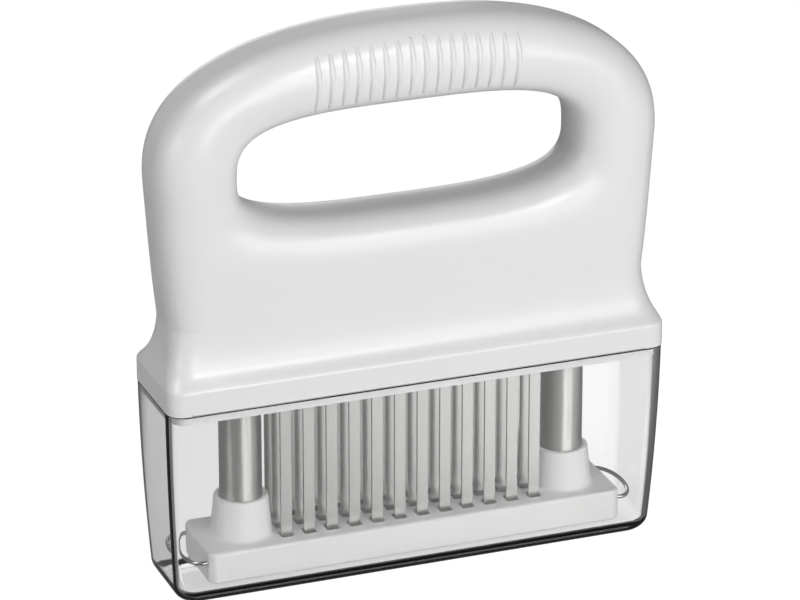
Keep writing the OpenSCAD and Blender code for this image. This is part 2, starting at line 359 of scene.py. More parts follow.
# painted shade along the rim, a dark line: start below the seam, and depth over which it fades in
RIM_PAINTED_SHADE = (0.42, 0.08)
# painted shade along the foot, a dark line: its heights, how it fades at each, and where it starts along
# Y
FOOT_PAINTED_SHADE = (0.1, 1.9)
FOOT_SHADE_FADE = (0.15, 0.4)
FOOT_SHADE_START_Y = 9.0
FOOT_SHADE_START_FADE = 1.5
# share of light that passes straight through in the cap's shadow
SHADOW_CLEARNESS = 0.36


def clear_plastic(colour):
    """Polished clear plastic with a trace of haze, with painted shade at its rim and along the long foot
    edges.
    """
    material, paint = new_material("clear_plastic")
    haze = paint.noise(90.0, 4.0, 0.6)
    place = paint.node("ShaderNodeSeparateXYZ", {}, {"Vector": paint.place()})
    height = paint.level(place, "Z") / MM
    # painted shade: the base colour goes dark along the rim and along the long foot edges
    rim = ((height - (SEAM_Z - RIM_PAINTED_SHADE[0])) / RIM_PAINTED_SHADE[1]).clamped()
    along_edge = ((abs(paint.level(place, "Y")) / MM - FOOT_SHADE_START_Y) / FOOT_SHADE_START_FADE).clamped()
    above = ((height - FOOT_PAINTED_SHADE[0]) / FOOT_SHADE_FADE[0]).clamped()
    below = ((FOOT_PAINTED_SHADE[1] - height) / FOOT_SHADE_FADE[1]).clamped()
    foot = above * below * along_edge
    shader = paint.node("ShaderNodeBsdfPrincipled", {}, {
        "Base Color": paint.mix((rim + foot).clamped(), colour, (0.0, 0.0, 0.0)),
        "Roughness": ((haze - 0.62) * 0.12).clamped(),
        "IOR": 1.49,
        "Transmission Weight": 1.0})
    depth = paint.node("ShaderNodeVolumeAbsorption", {}, {"Color": (0.1, 0.1, 0.1), "Density": 24.0})
    lit = paint.level(paint.node("ShaderNodeLightPath"), "Is Shadow Ray") * SHADOW_CLEARNESS
    shadow = paint.node("ShaderNodeBsdfTransparent")
    both = paint.node("ShaderNodeMixShader", {}, {
        "Fac": lit, 1: shader.outputs[0], 2: shadow.outputs[0]})
    paint.node("ShaderNodeOutputMaterial", {}, {"Surface": both.outputs[0], "Volume": depth.outputs[0]})
    return material


def drawn_steel(name, colour, roughness, grain_depth, turned):
    """Stainless with a fine grain along Z; turned is how far highlights are drawn out along Z."""
    material, paint = new_material(name)
    grain = paint.noise(2600.0, 3.0, 0.6, (1.0, 1.0, 0.012))
    broad = paint.noise(240.0, 2.0, 0.5, (1.0, 1.0, 0.2))
    shader = paint.node("ShaderNodeBsdfPrincipled", {}, {
        "Base Color": paint.mix((grain * 0.6 + broad * 0.4).clamped(), toned(colour, 0.93), colour),
        "Metallic": 1.0,
        "Roughness": (roughness - 0.05 + grain * 0.1).clamped(),
        "Anisotropic": turned,
        "Anisotropic Rotation": 0.25,
        "Normal": paint.bump(grain, grain_depth)})
    paint.surface(shader)
    return material


def bright_wire(name, colour, roughness):
    """Bright drawn wire and plain machined steel."""
    material, paint = new_material(name)
    mark = paint.noise(1400.0, 3.0, 0.6)
    shader = paint.node("ShaderNodeBsdfPrincipled", {}, {
        "Base Color": paint.mix(mark.clamped(), toned(colour, 0.85), colour),
        "Metallic": 1.0,
        "Roughness": (roughness + (mark - 0.5) * 0.1).clamped(),
        "Normal": paint.bump(mark, 3e-6)})
    paint.surface(shader)
    return material


def make_materials(finish):
    """Every material of the object, by the record's slot."""
    plastic, nylon = tuple(finish.plastic), tuple(finish.nylon)
    steel = tuple(finish.steel)
    # name, colour, roughness, depth of the mould texture in metres
    moulded = (
        ("white_plastic", plastic, 0.32, 5e-6),
        ("white_plastic_insert", toned(plastic, 1.12), 0.40, 5e-6),
        # painted light: the guard's copy of the white plastic is made lighter to make up for the light
        # it loses inside the cap
        ("white_plastic_guard", toned(plastic, 1.1), 0.40, 5e-6),
        ("grey_plastic", toned(plastic, 0.8), 0.5, 6e-6),
        ("nylon", nylon, 0.38, 4e-6),
    )
    # name, colour, roughness, depth of the grain in metres, how far highlights are drawn out
    drawn = (
        ("tube_steel", toned(steel, 1.15), 0.45, 5e-8, 0.9),
        ("blade_steel", toned(steel, 1.3), 0.24, 1e-7, 0.6),
    )
    # name, colour, roughness
    wire = (
        ("wire_steel", toned(steel, 0.95), 0.16),
        ("spring_steel", toned(steel, 0.8), 0.3),
        ("steel_hardware", toned(steel, 0.9), 0.3),
    )
    made = {"clear_plastic": clear_plastic(tuple(finish.clear))}
    for recipe, rows in ((moulded_plastic, moulded), (drawn_steel, drawn), (bright_wire, wire)):
        made.update({row[0]: recipe(*row) for row in rows})
    return made


# ---------------------------------------------------------------------------------------------
# Mesh building
# ---------------------------------------------------------------------------------------------

class Shell:
    """Points and faces of one mesh, in millimetres, made of rings, bands and flat fills."""

    def __init__(self):
        self.points = []
        self.faces = []

    def ring(self, points):
        """Adds points and gives their numbers."""
        start = len(self.points)
        self.points.extend(tuple(map(float, p)) for p in points)
        return list(range(start, len(self.points)))

    def band(self, first, second):
        """Quads from one ring to another of the same count."""
        count = len(first)
        for i in range(count):
            j = (i + 1) % count
            self.faces.append((first[i], first[j], second[j], second[i]))

    def bands(self, rings):
        """Quads from each ring to the next."""
        for first, second in zip(rings, rings[1:]):
            self.band(first, second)

    def fill(self, outer, holes=(), up=True):
        """A flat face inside one ring and outside others."""
        loops = [outer, *holes]
        index = [i for loop in loops for i in loop]
        flat = [[Vector(self.points[i]) for i in loop] for loop in loops]
        for triangle in tessellate_polygon(flat):
            corners = [Vector(self.points[index[k]]) for k in triangle]
            facing = (corners[1] - corners[0]).cross(corners[2] - corners[0]).z > 0
            order = triangle if facing == up else tuple(reversed(triangle))
            self.faces.append(tuple(index[k] for k in order))

    def mesh(self, name):
        made = bpy.data.meshes.new(name)
        made.from_pydata([tuple(c * MM for c in p) for p in self.points], [], self.faces)
        made.validate()
        return made


def add_piece(name, mesh, material, body, replaces=(), sharp=35.0, weighted=True):
    """Makes a piece of a mesh, with its material and its body, in place of CAD nodes."""
    piece = bpy.data.objects.new(name, mesh)
    bpy.context.scene.collection.objects.link(piece)
    dress(piece, material)
    if sharp:
        mesh.shade_smooth()
        mesh.set_sharp_from_angle(angle=radians(sharp))
    if weighted:
        even = piece.modifiers.new("even_normals", "WEIGHTED_NORMAL")
        even.keep_sharp = True
    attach(piece, body)
    if replaces:
        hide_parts(*replaces)
    return piece


def arc(centre, radius, start, end, steps):
    """Points on a circle in a plane, from one angle in degrees to another."""
    for i in range(steps + 1):
        a = radians(start + (end - start) * i / steps)
        yield centre[0] + radius * cos(a), centre[1] + radius * sin(a)


def round_rectangle(half_x, half_y, radius, z, steps=8, centre=(0.0, 0.0)):
    """Points of a rectangle with round corners, anticlockwise from above."""
    points = []
    for quarter in range(4):
        cx = (half_x - radius) * (1 if quarter in (0, 3) else -1)
        cy = (half_y - radius) * (1 if quarter < 2 else -1)
        for x, y in arc((cx, cy), radius, 90 * quarter, 90 * quarter + 90, steps):
            points.append((centre[0] + x, centre[1] + y, z))
    return points


def circle(x, y, radius, z, steps=64):
    """Points of a level circle, anticlockwise from above."""
    return [(x + radius * cos(2 * pi * i / steps), y + radius * sin(2 * pi * i / steps), z)
            for i in range(steps)]


def lathe(shell, x, y, profile, steps=96, closed=True):
    """Turns a profile of (radius, height) about an upright axis."""
    rings = [shell.ring(circle(x, y, r, z, steps)) for r, z in profile]
    shell.bands(rings)
    if closed:
        shell.band(rings[-1], rings[0])
    return rings


def sweep(shell, path, radius, sides=12):
    """A round wire along a path, closed at both ends."""
    path = [Vector(p) for p in path]
    rings = []
    side = None
    for i, here in enumerate(path):
        along = (path[min(i + 1, len(path) - 1)] - path[max(i - 1, 0)]).normalized()
        if side is None:
            side = along.orthogonal().normalized()
        side = (side - along * side.dot(along)).normalized()
        other = along.cross(side)
        rings.append(shell.ring([
            here + radius * (cos(2 * pi * k / sides) * side + sin(2 * pi * k / sides) * other)
            for k in range(sides)]))
    shell.bands(rings)
    shell.faces.append(tuple(reversed(rings[0])))
    shell.faces.append(tuple(rings[-1]))


# ---------------------------------------------------------------------------------------------
# Grip: a smooth solid given by a function, then meshed
# ---------------------------------------------------------------------------------------------

FLANGE_HALF = (COVER_HIGH[0], COVER_HIGH[1])
FLANGE_TOP = SEAM_Z + 6.8
FLANGE_SOFT = 1.2
FLANGE_CORNER = 5.3
WAIST_Z = 76.9
WAIST_HALF_LENGTH = 66.7
OUTLINE_POWER = 2.37
SECTION_POWER = 2.4
OPENING_SECTION_POWER = 2.6
OPENING_Z = 115.4
OPENING_UP = 15.4
OPENING_DOWN = 13.2
OPENING_POWER_UP = 3.3
OPENING_POWER_DOWN = 3.1
BAR_Z = 141.6
WAIST_EDGE = 9.95
UPPER_EDGE = 11.6
BAR_EDGE = 13.5
OPENING_EDGE = {"up": 12.7, "side": 13.4, "down": 11.9}
SHOULDER_POWER = 2.4
# the ribs' row drops by the second figure at the first one's distance from the middle
RIB_ARC = (28.5, 2.0)
# a rib runs round this height, this many degrees up and this many to either side of that
RIB_AXIS_Z = BAR_Z - 1.2
RIB_MIDDLE = 7.5
RIB_SPREAD = 35.0
# half its width at the tips and in the middle
RIB_HALF_WIDTH = (0.3, 0.8)


def superellipse_distance(x, z, half_x, half_z, power):
    """Signed distance from a superellipse, near it: positive outside."""
    u = np.abs(x) / half_x
    v = np.abs(z) / half_z
    level = u ** power + v ** power + 1e-12
    radius = level ** (1 / power)
    slope_x = level ** (1 / power - 1) * u ** (power - 1) / half_x
    slope_z = level ** (1 / power - 1) * v ** (power - 1) / half_z
    return (radius - 1) / np.maximum(np.hypot(slope_x, slope_z), 1e-6)


def ease(value):
    """0 to 1 with a soft start and end."""
    value = np.clip(value, 0, 1)
    return value * value * (3 - 2 * value)


def shoulder(z, at_flange, at_waist, ledge):
    """A half size that sweeps in from the flange, over its soft edge and a ledge, to the waist."""
    rise = (z - FLANGE_TOP) / (WAIST_Z - FLANGE_TOP)
    fall = 1 - np.clip(rise, 0, 1)
    sweep = (1 - ledge) * fall ** SHOULDER_POWER + ledge * fall ** 6 - 5.0 * np.minimum(rise, 0)
    swept = at_waist + (at_flange - at_waist) * sweep
    near = np.maximum(FLANGE_SOFT - np.abs(swept - at_flange), 0) / FLANGE_SOFT
    return np.minimum(swept, at_flange) - near * near * FLANGE_SOFT / 4


def grip_field(p, grip):
    """Below zero inside the grip, above zero outside; near the surface, about a distance."""
    x, y, z = np.abs(p[..., 0]), np.abs(p[..., 1]), p[..., 2]
    # half sizes at this height
    climb = np.clip((z - WAIST_Z) / (grip.shoulder_height - WAIST_Z), 0, 1)
    side = WAIST_HALF_LENGTH + (grip.half_length - WAIST_HALF_LENGTH) * climb * (1.36 - 0.36 * climb)
    half_x = np.where(z >= WAIST_Z, side, shoulder(z, FLANGE_HALF[0], WAIST_HALF_LENGTH, 0.08))
    thicken = np.clip((z - WAIST_Z) / (BAR_Z - WAIST_Z), 0, 1)
    half_y = np.where(z >= WAIST_Z, grip.panel_depth + (grip.bar_depth - grip.panel_depth) * thicken,
                      shoulder(z, FLANGE_HALF[1], grip.panel_depth, 0.55))
    # radius of the outer edges
    low = np.clip((z - FLANGE_TOP) / (WAIST_Z - FLANGE_TOP), 0, 1)
    edge = FLANGE_CORNER + (WAIST_EDGE - FLANGE_CORNER) * low
    edge = edge + (UPPER_EDGE - edge) * ease((z - WAIST_Z) / 35.0)
    edge = np.minimum(edge, half_y)
    edge_x = edge + (BAR_EDGE - edge) * np.clip((z - grip.shoulder_height) / 14.0, 0, 1)
    # depth inside the outline, and outside the finger opening
    arch = -superellipse_distance(x, np.maximum(z - grip.shoulder_height, 0), grip.half_length,
                                  grip.top_height - grip.shoulder_height, OUTLINE_POWER)
    inside = np.where(z > grip.shoulder_height, arch, half_x - x)
    rise = z - OPENING_Z
    reach = np.where(rise > 0, OPENING_UP, OPENING_DOWN)
    above = superellipse_distance(x, rise, grip.opening_length, OPENING_UP, OPENING_POWER_UP)
    below = superellipse_distance(x, rise, grip.opening_length, OPENING_DOWN, OPENING_POWER_DOWN)
    outside = np.where(rise > 0, above, below)
    upright = (rise / reach) ** 2 / ((x / grip.opening_length) ** 2 + (rise / reach) ** 2 + 1e-9)
    end = np.where(rise > 0, OPENING_EDGE["up"], OPENING_EDGE["down"])
    opening_edge = OPENING_EDGE["side"] + (end - OPENING_EDGE["side"]) * upright
    # how far into each rounded edge the point is
    in_outline = np.maximum(0, 1 - inside / edge_x)
    in_opening = np.maximum(0, 1 - outside / opening_edge)
    in_depth = np.maximum(0, y - (half_y - edge)) / edge
    n, m = SECTION_POWER, OPENING_SECTION_POWER
    rounded = (in_outline ** n + in_opening ** n + in_depth ** n) ** (1 / n)
    round_opening = (in_opening ** m + (y / half_y) ** m) ** (1 / m)
    return (np.maximum(rounded, round_opening) - 1) * edge


def rib_relief(p, grip):
    """Height of the finger ribs at a point: crescents across the front and back of the bar."""
    x, y, z = p[..., 0], np.abs(p[..., 1]), p[..., 2]
    half_row = (grip.rib_count - 1) / 2
    place = np.clip(np.round(x / grip.rib_pitch + half_row), 0, grip.rib_count - 1)
    centre = (place - half_row) * grip.rib_pitch
    drop = RIB_ARC[1] * (centre / RIB_ARC[0]) ** 2
    angle = np.degrees(np.arctan2(z - (RIB_AXIS_Z - drop), y))
    span = np.clip(1 - ((angle - RIB_MIDDLE) / RIB_SPREAD) ** 2, 0, 1)
    width = RIB_HALF_WIDTH[0] + (RIB_HALF_WIDTH[1] - RIB_HALF_WIDTH[0]) * np.sqrt(span)
    across = np.clip(1 - ((x - centre) / width) ** 2, 0, 1)
    return grip.rib_height * across ** 0.6 * span ** 0.5


def grip_surface(p, grip):
    """The grip's function with its ribs."""
    return grip_field(p, grip) - rib_relief(p, grip)


def surface_slope(p, grip, step=0.02):
    """Gradient of the grip's function by central differences."""
    slope = np.empty_like(p)
    for axis in range(3):
        shift = np.zeros(3)
        shift[axis] = step
        slope[..., axis] = (grip_surface(p + shift, grip) - grip_surface(p - shift, grip)) / (2 * step)
    return slope


def graded(stops):
    """Coordinates from a list of (end, spacing) that starts with (start, None)."""
    values = [stops[0][0]]
    for end, spacing in stops[1:]:
        count = max(1, round((end - values[-1]) / spacing))
        values.extend(np.linspace(values[-1], end, count + 1)[1:])
    return np.array(values)


def surface_net(field, axes):
    """Vertices and quads of the zero surface of a field on a grid of uneven spacing."""
    nx, ny, nz = field.shape
    inside = field < 0
    corner_sum = sum(inside[i:nx - 1 + i, j:ny - 1 + j, k:nz - 1 + k].astype(np.int8)
                     for i in (0, 1) for j in (0, 1) for k in (0, 1))
    # one vertex in each cell that the surface runs through, amid the crossings of its edges
    cells = np.argwhere((corner_sum > 0) & (corner_sum < 8))
    number = -np.ones((nx - 1, ny - 1, nz - 1), int)
    number[tuple(cells.T)] = np.arange(len(cells))
    total = np.zeros((len(cells), 3))
    crossings = np.zeros(len(cells))
    for axis in range(3):
        others = [a for a in range(3) if a != axis]
        for shift in ((0, 0), (0, 1), (1, 0), (1, 1)):
            start = cells.copy()
            start[:, others[0]] += shift[0]
            start[:, others[1]] += shift[1]
            end = start.copy()
            end[:, axis] += 1
            a, b = field[tuple(start.T)], field[tuple(end.T)]
            hit = (a < 0) != (b < 0)
            share = np.where(hit, a / np.where(hit, a - b, 1), 0)
            low = np.stack([axes[k][start[:, k]] for k in range(3)], 1)
            high = np.stack([axes[k][end[:, k]] for k in range(3)], 1)
            total += np.where(hit[:, None], low + (high - low) * share[:, None], 0)
            crossings += hit
    vertices = total / crossings[:, None]
    # one quad across each grid edge that the surface crosses
    quads = []
    for axis in range(3):
        b, c = (axis + 1) % 3, (axis + 2) % 3
        first = [slice(None)] * 3
        second = [slice(None)] * 3
        first[axis], second[axis] = slice(0, -1), slice(1, None)
        change = inside[tuple(first)] != inside[tuple(second)]
        where = np.argwhere(change)
        for other in (b, c):
            where = where[(where[:, other] > 0) & (where[:, other] < field.shape[other] - 1)]
        outward = inside[tuple(first)][tuple(where.T)]
        corners = []
        for db, dc in ((0, 0), (-1, 0), (-1, -1), (0, -1)):
            cell = where.copy()
            cell[:, b] += db
            cell[:, c] += dc
            corners.append(number[tuple(cell.T)])
        quad = np.stack(corners, 1)
        quad[~outward] = quad[~outward][:, ::-1]
        quads.append(quad)
    return vertices, np.concatenate(quads)


def grip_skin(grip):
    """Outer skin of the grip, cut flat at the seam: a bmesh in millimetres."""
    rib_end = grip.rib_count * grip.rib_pitch / 2
    x_end = grip.half_length + 2.2
    y_end = FLANGE_HALF[1] + 1.0
    z_end = grip.top_height + 1.86
    x_axis = graded([(-x_end, None), (-rib_end, 1.0), (rib_end, grip.rib_pitch / 28), (x_end, 1.0)])
    y_axis = graded([(-y_end, None), (-9.0, 0.6), (9.0, 1.0), (y_end, 0.6)])
    z_axis = graded([(SEAM_Z - 1.5, None), (SEAM_Z + 3.0, 0.9), (FLANGE_TOP + 2.0, 0.3),
                     (90.0, 0.8), (127.0, 1.0), (z_end, 0.6)])
    grid = np.stack(np.meshgrid(x_axis, y_axis, z_axis, indexing="ij"), -1)
    vertices, quads = surface_net(grip_surface(grid, grip), (x_axis, y_axis, z_axis))
    # a few steps onto the surface; across the ribs the columns keep their x
    for _ in range(4):
        slope = surface_slope(vertices, grip)
        slope[:, 0] *= np.abs(vertices[:, 0]) > rib_end
        length = np.maximum((slope ** 2).sum(1), 0.04)
        vertices = vertices - slope * np.clip(grip_surface(vertices, grip) / length, -0.6, 0.6)[:, None]
    skin = bmesh.new()
    made = [skin.verts.new(v) for v in vertices]
    for quad in quads:
        skin.faces.new([made[i] for i in quad])
    bmesh.ops.bisect_plane(skin, geom=skin.verts[:] + skin.edges[:] + skin.faces[:],
                           plane_co=(0, 0, SEAM_Z), plane_no=(0, 0, 1), clear_inner=True)
    return skin


def open_loop(mesh):
    """Vertices of a bmesh's open edge, in order."""
    edges = [e for e in mesh.edges if e.is_boundary]
    start = edges[0].verts[0]
    loop, last, here = [start], None, start
    while True:
        step = next(e for e in here.link_edges if e.is_boundary and e is not last)
        here, last = step.other_vert(here), step
        if here is start:
            return loop
        loop.append(here)


# pocket for the insert, well for the block above it, and a channel for each plunger
POCKET_HALF = (65.0, 12.6)
POCKET_CORNER = 3.0
WELL_HALF = (54.0, 8.6)
WELL_TOP = 75.0
CHANNEL_R = 7.15


def unit_rows(vectors):
    """Each row of an array made one long."""
    return vectors / np.maximum(np.linalg.norm(vectors, axis=1), 1e-9)[:, None]


def build_grip(grip, materials):
    """The grip: fitted skin outside, a stepped pocket inside for the insert and the plungers."""
    skin = grip_skin(grip)
    skin.verts.index_update()
    shell = Shell()
    shell.points = [tuple(v.co) for v in skin.verts]
    shell.faces = [tuple(v.index for v in f.verts) for f in skin.faces]
    outer_faces = len(shell.faces)
    rim = [v.index for v in open_loop(skin)]
    skin.free()
    pocket_top = CARRIER_HIGH[2] + 0.2
    channel_top = SPRING_HIGH[2] + 0.05
    mouth = shell.ring(round_rectangle(*POCKET_HALF, POCKET_CORNER, SEAM_Z))
    ceiling = shell.ring(round_rectangle(*POCKET_HALF, POCKET_CORNER, pocket_top))
    shell.fill(rim, [mouth], up=False)
    shell.band(ceiling, mouth)
    well_low = shell.ring(round_rectangle(*WELL_HALF, POCKET_CORNER, pocket_top))
    well_high = shell.ring(round_rectangle(*WELL_HALF, POCKET_CORNER, WELL_TOP))
    shell.fill(ceiling, [well_low], up=False)
    shell.band(well_high, well_low)
    channels = []
    for way in SIDES.values():
        low = shell.ring(circle(way * TUBE_X, 0, CHANNEL_R, WELL_TOP))
        high = shell.ring(circle(way * TUBE_X, 0, CHANNEL_R, channel_top))
        shell.band(high, low)
        shell.fill(high, up=False)
        channels.append(low)
    shell.fill(well_high, channels, up=False)
    mesh = shell.mesh("grip")
    # smooth outside with the function's own normals, flat inside
    points = np.array(shell.points)
    slope = unit_rows(surface_slope(points, grip))
    slope[points[:, 2] < SEAM_Z + 1e-4, 2] = 0
    slope = unit_rows(slope)
    mesh.shade_smooth()
    normals = []
    for face in mesh.polygons:
        flat = face.index >= outer_faces
        for corner in face.vertices:
            normals.append(tuple(face.normal) if flat else tuple(slope[corner]))
    mesh.normals_split_custom_set(normals)
    add_piece("grip", mesh, materials["white_plastic"], "handle",
              ["handle"], sharp=None, weighted=False)


# ---------------------------------------------------------------------------------------------
# Clear cap
# ---------------------------------------------------------------------------------------------

# how far the walls lean in from the seam to the foot, straight and curved, along X and along Y
CAP_LEAN = ((0.55, 1.79), (0.60, 1.80))
CAP_EDGE = 4.6
CAP_INNER_EDGE = 3.2
CAP_LIP = 0.35


def cap_ring(cap, inset, edge_inset, z):
    """One level of the cap's outer or inner skin."""
    drop = (SEAM_Z - max(z, 0)) / SEAM_Z
    half = [COVER_HIGH[axis] - inset - edge_inset - straight * drop - curved * drop ** 2
            for axis, (straight, curved) in enumerate(CAP_LEAN)]
    radius = max(cap.corner - inset - edge_inset * 0.5, 1.2)
    return round_rectangle(*half, radius, z, 14)


def cap_skin(shell, cap, inset, bottom, edge, top):
    """Rings from the bottom's rim, round the edge and up the wall."""
    levels = [(bottom + edge * (1 - cos(a)), edge * (1 - sin(a)))
              for a in np.linspace(0, pi / 2, 13)]
    levels += [(z, 0.0) for z in np.linspace(bottom + edge, top, 14)[1:]]
    return [shell.ring(cap_ring(cap, inset, side, z)) for z, side in levels]


def build_cap(cap, materials):
    """The clear cap: an open box with round edges and an even wall."""
    shell = Shell()
    wall_top = SEAM_Z - CAP_LIP
    outer = cap_skin(shell, cap, 0.0, 0.0, CAP_EDGE, wall_top)
    inner = cap_skin(shell, cap, cap.wall, cap.floor, CAP_INNER_EDGE, wall_top)
    rim = [shell.ring(cap_ring(cap, cap.wall / 2 * (1 - cos(a)), 0.0, wall_top + CAP_LIP * sin(a)))
           for a in np.linspace(0, pi, 9)[1:-1]]
    shell.bands(outer + rim + inner[::-1])
    shell.fill(outer[0], up=False)
    shell.fill(inner[0], up=True)
    add_piece("clear_cap", shell.mesh("clear_cap"), materials["clear_plastic"], "cover",
              ["cover"], sharp=60.0)


# ---------------------------------------------------------------------------------------------
# Guard, plungers, springs and clips
# ---------------------------------------------------------------------------------------------

BLADE_NAMES = [f"blade_{row}_{i:02d}" for row in ("front", "middle", "back") for i in range(1, 13)]
SLOT_HALF = (3.5 / 2, 3.6 / 2)
SLOT_EASE = 0.12
PLATE_BOTTOM = PLATE_LOW[2]
PLATE_TOP = PLATE_BOTTOM + 8.8
PLATE_CORNER = 2.6
PLATE_FILLET = 0.9
COLLAR_TOP = PLATE_HIGH[2]
COLLAR_R = (8.26, 7.30)
COLLAR_FILLET = 0.9
COLLAR_SOFT = 0.5


def blade_places():
    """Centre of each blade, from its CAD node."""
    for name in BLADE_NAMES:
        low, high = cad_box(name)
        yield (low[0] + high[0]) / 2, (low[1] + high[1]) / 2


def slot_rings(shell, x, y):
    """The rings of one blade slot, from its eased mouth on top down to the plate's bottom."""
    half_x, half_y = SLOT_HALF
    eased = round_rectangle(half_x + SLOT_EASE, half_y + SLOT_EASE, 0.6, PLATE_TOP, 3, (x, y))
    throat = round_rectangle(half_x, half_y, 0.4, PLATE_TOP - SLOT_EASE, 3, (x, y))
    foot = round_rectangle(half_x, half_y, 0.4, PLATE_BOTTOM, 3, (x, y))
    return [shell.ring(points) for points in (eased, throat, foot)]


def build_guard(materials):
    """The guard plate: round-edged bar with a slot for each blade and a collar for each tube."""
    shell = Shell()
    half_x, half_y = PLATE_HIGH[0], PLATE_HIGH[1]
    quarter = np.linspace(0, pi / 2, 6)
    rings = []
    for face, way, angles in ((PLATE_BOTTOM, 1, quarter), (PLATE_TOP, -1, quarter[::-1])):
        for a in angles:
            inset = PLATE_FILLET * (1 - sin(a))
            rings.append(shell.ring(round_rectangle(
                half_x - inset, half_y - inset, PLATE_CORNER - inset * 0.8,
                face + way * PLATE_FILLET * (1 - cos(a)))))
    shell.bands(rings)
    slots_top, slots_bottom = [], []
    for x, y in blade_places():
        slot = slot_rings(shell, x, y)
        shell.bands(slot)
        slots_top.append(slot[0])
        slots_bottom.append(slot[-1])
    foot_r, rim_r = COLLAR_R
    bore_r = TUBE_R + 0.03
    profile = [(foot_r + COLLAR_FILLET * (1 - sin(a)), PLATE_TOP + COLLAR_FILLET * (1 - cos(a)))
               for a in quarter]
    profile += [(rim_r - COLLAR_SOFT * (1 - sin(a)), COLLAR_TOP - COLLAR_SOFT + COLLAR_SOFT * cos(a))
                for a in quarter[::-1]]
    profile += [(bore_r + 0.35, COLLAR_TOP), (bore_r, COLLAR_TOP - 0.35), (bore_r, PLATE_BOTTOM + 1.6)]
    bores = []
    for way in SIDES.values():
        turned = lathe(shell, way * TUBE_X, 0, profile, closed=False)
        shell.fill(turned[-1], up=True)
        bores.append(turned[0])
    shell.fill(rings[-1], slots_top + bores, up=True)
    shell.fill(rings[0], slots_bottom, up=False)
    add_piece("guard_plate_moulding", shell.mesh("guard_plate_moulding"),
              materials["white_plastic_guard"], "guard", ["guard_plate"],
              sharp=40.0)


def build_tubes(materials):
    """The plunger tubes: thin drawn tube with dressed ends."""
    low, high, soft = TUBE_LOW[2], TUBE_HIGH[2], 0.12
    inner = TUBE_R - 0.5
    profile = [(TUBE_R - soft, low)] + [(TUBE_R, z) for z in np.linspace(low + soft, high - soft, 12)]
    profile += [(TUBE_R - soft, high), (inner + soft, high), (inner, high - soft), (inner, low + soft),
                (inner + soft, low)]
    for side, way in SIDES.items():
        shell = Shell()
        lathe(shell, way * TUBE_X, 0, profile)
        add_piece(f"tube_{side}", shell.mesh(f"tube_{side}"), materials["tube_steel"], "guard",
                  [f"plunger_tube_{side}"])


def build_bushes(materials):
    """The guide bushes that the tubes run in."""
    low, high, soft = BUSH_LOW[2], BUSH_HIGH[2], 0.3
    outer = (BUSH_HIGH[0] - BUSH_LOW[0]) / 2
    inner = TUBE_R + 0.06
    profile = [(outer - soft, low), (outer, low + soft), (outer, high - soft), (outer - soft, high),
               (inner + soft, high), (inner, high - soft), (inner, low + soft), (inner + soft, low)]
    for side, way in SIDES.items():
        shell = Shell()
        lathe(shell, way * TUBE_X, 0, profile)
        add_piece(f"bush_{side}", shell.mesh(f"bush_{side}"), materials["nylon"], "handle",
                  [f"guide_bush_{side}"])


SPRING_TURNS = 21
SPRING_WIRE = 0.55
SPRING_STEPS = 24
GUARD_TRAVEL = next(j for j in frame["joints"] if j["name"] == "guard_slide")["range_m"][1]


def build_springs(materials):
    """The return springs: round wire in a helix."""
    radius = (SPRING_HIGH[0] - SPRING_LOW[0]) / 2 - SPRING_WIRE
    low, high = SPRING_LOW[2] + SPRING_WIRE, SPRING_HIGH[2] - SPRING_WIRE
    length = (SPRING_HIGH[2] - SPRING_LOW[2]) * MM
    steps = SPRING_TURNS * SPRING_STEPS
    for side, way in SIDES.items():
        shell = Shell()
        path = []
        for i in range(steps + 1):
            turn = 2 * pi * i / SPRING_STEPS
            path.append((way * TUBE_X + radius * cos(turn), radius * sin(turn),
                         low + (high - low) * i / steps))
        sweep(shell, path, SPRING_WIRE, 10)
        piece = add_piece(f"spring_{side}", shell.mesh(f"spring_{side}"), materials["spring_steel"],
                          "handle", [f"return_spring_{side}"],
                          sharp=60.0, weighted=False)
        (length - GUARD_TRAVEL) / length
        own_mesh(piece)


CLIP_GRIP = 5.65
CLIP_HALF = 9.5
CLIP_END = 41.2
CLIP_WIRE = 0.55
CLIP_Z = (CLIP_LOW[2] + CLIP_HIGH[2]) / 2
CLIP_BOW_HALF = 10.0


def clip_leg(way):
    """One leg of a clip, from its end in the foot plug's groove out to the bow."""
    bend = [(CLIP_END, CLIP_GRIP), (46, CLIP_GRIP), (50, CLIP_GRIP), (51.5, CLIP_GRIP + 0.35),
            (56.2, CLIP_HALF - 0.35), (57.6, CLIP_HALF)]
    return [(x, way * y, CLIP_Z) for x, y in bend]


def build_clips(materials):
    """The wire clips: two legs grip the foot plug, the bow stands out at the plate's end."""
    bow_x = PLATE_HIGH[0] + 0.8
    reach = CLIP_HIGH[0] - CLIP_WIRE - bow_x
    for side, way in SIDES.items():
        path = clip_leg(-1)
        path += [(bow_x + reach * cos(a), CLIP_BOW_HALF * sin(a), CLIP_Z)
                 for a in np.linspace(-pi / 2, pi / 2, 33)]
        path += clip_leg(1)[::-1]
        shell = Shell()
        sweep(shell, [(way * x, y, height) for x, y, height in path], CLIP_WIRE, 14)
        add_piece(f"clip_{side}", shell.mesh(f"clip_{side}"), materials["wire_steel"], "guard",
                  [f"retaining_clip_{side}"], sharp=60.0, weighted=False)


# ---------------------------------------------------------------------------------------------
# CAD nodes that stay, with softened edges and their finish
# ---------------------------------------------------------------------------------------------

def soften(node, width):
    """Joins a CAD node's facets and rounds its edges, without touching its mesh."""
    weld = node.modifiers.new("weld", "WELD")
    weld.merge_threshold = 2e-6
    bevel = node.modifiers.new("bevel", "BEVEL")
    bevel.width = width * MM
    bevel.segments = 2
    bevel.limit_method = "ANGLE"
    bevel.angle_limit = radians(40)
    bevel.harden_normals = True


def finish_nodes(names, material, width=0.0):
    """Puts a material on CAD nodes and rounds their edges by a width in millimetres."""
    for name in names:
        node = frame["nodes"][name]
        dress(node, material)
        if width:
            soften(node, width)


# ---------------------------------------------------------------------------------------------
# Stage
# ---------------------------------------------------------------------------------------------

